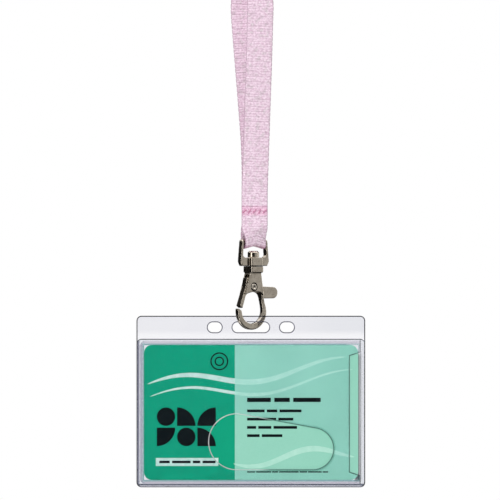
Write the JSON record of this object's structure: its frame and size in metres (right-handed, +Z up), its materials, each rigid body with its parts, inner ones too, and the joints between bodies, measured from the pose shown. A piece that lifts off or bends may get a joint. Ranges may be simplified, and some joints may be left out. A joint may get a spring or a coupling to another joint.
{
  "type": "badge holder on a lanyard",
  "caption": "Clear badge holder with a card, hung by its slotted header from a swivelling trigger snap hook on a ribbon lanyard loop.",
  "frame": {"origin": "top of the ribbon loop, where the lanyard hangs from the neck", "axes": "+Z up along the hanging lanyard, the holder's front faces -Y, +X is to the right of the front"},
  "size_m": [0.0914, 0.021, 0.2038],
  "materials": {
    "ribbon": "matte",
    "thread": "matte",
    "nickel": "polished",
    "spring_wire": "satin",
    "clear_sheet": "glossy",
    "clear_film": "glossy",
    "card_white": "satin",
    "print_green": "satin",
    "print_mint": "satin"
  },
  "bodies": {
    "lanyard": {"neck_ribbon": "ribbon", "ribbon_end_loop": "ribbon", "seam_stitching": "thread"},
    "ring": {"swivel_ring": "nickel"},
    "hook": {"swivel_pin": "nickel", "hook_body": "nickel", "gate_rivet": "nickel"},
    "gate": {"gate_lever": "nickel", "gate_spring": "spring_wire"},
    "holder": {"back_sheet": "clear_sheet", "front_sheet": "clear_film"},
    "card": {"card_core": "card_white", "card_green_field": "print_green", "card_mint_field": "print_mint", "card_back_film": "card_white"}
  },
  "joints": [
    {"name": "ring_swing", "type": "hinge", "parent": "lanyard", "child": "ring", "pos_m": [0.001, 0, -0.1056], "axis": [0.788, 0.6157, 0], "range_deg": [-40, 40]},
    {"name": "hook_swivel", "type": "hinge", "parent": "ring", "child": "hook", "pos_m": [0.001, 0, -0.1153], "axis": [0, 0, 1], "continuous": true},
    {"name": "gate_hinge", "type": "hinge", "parent": "hook", "child": "gate", "pos_m": [0.00013, -0.00068, -0.1237], "axis": [0.6157, -0.788, 0], "range_deg": [0, 25], "stiffness_Nm_per_rad": 0.01, "springref_deg": -57.3, "deforming": ["gate_spring"]},
    {"name": "holder_swing", "type": "hinge", "parent": "hook", "child": "holder", "pos_m": [0.00005, -0.00074, -0.13783], "axis": [1, 0, 0], "range_deg": [-30, 30]},
    {"name": "card_slide", "type": "slide", "parent": "holder", "child": "card", "axis": [1, 0, 0], "range_m": [0, 0.089]}
  ]
}
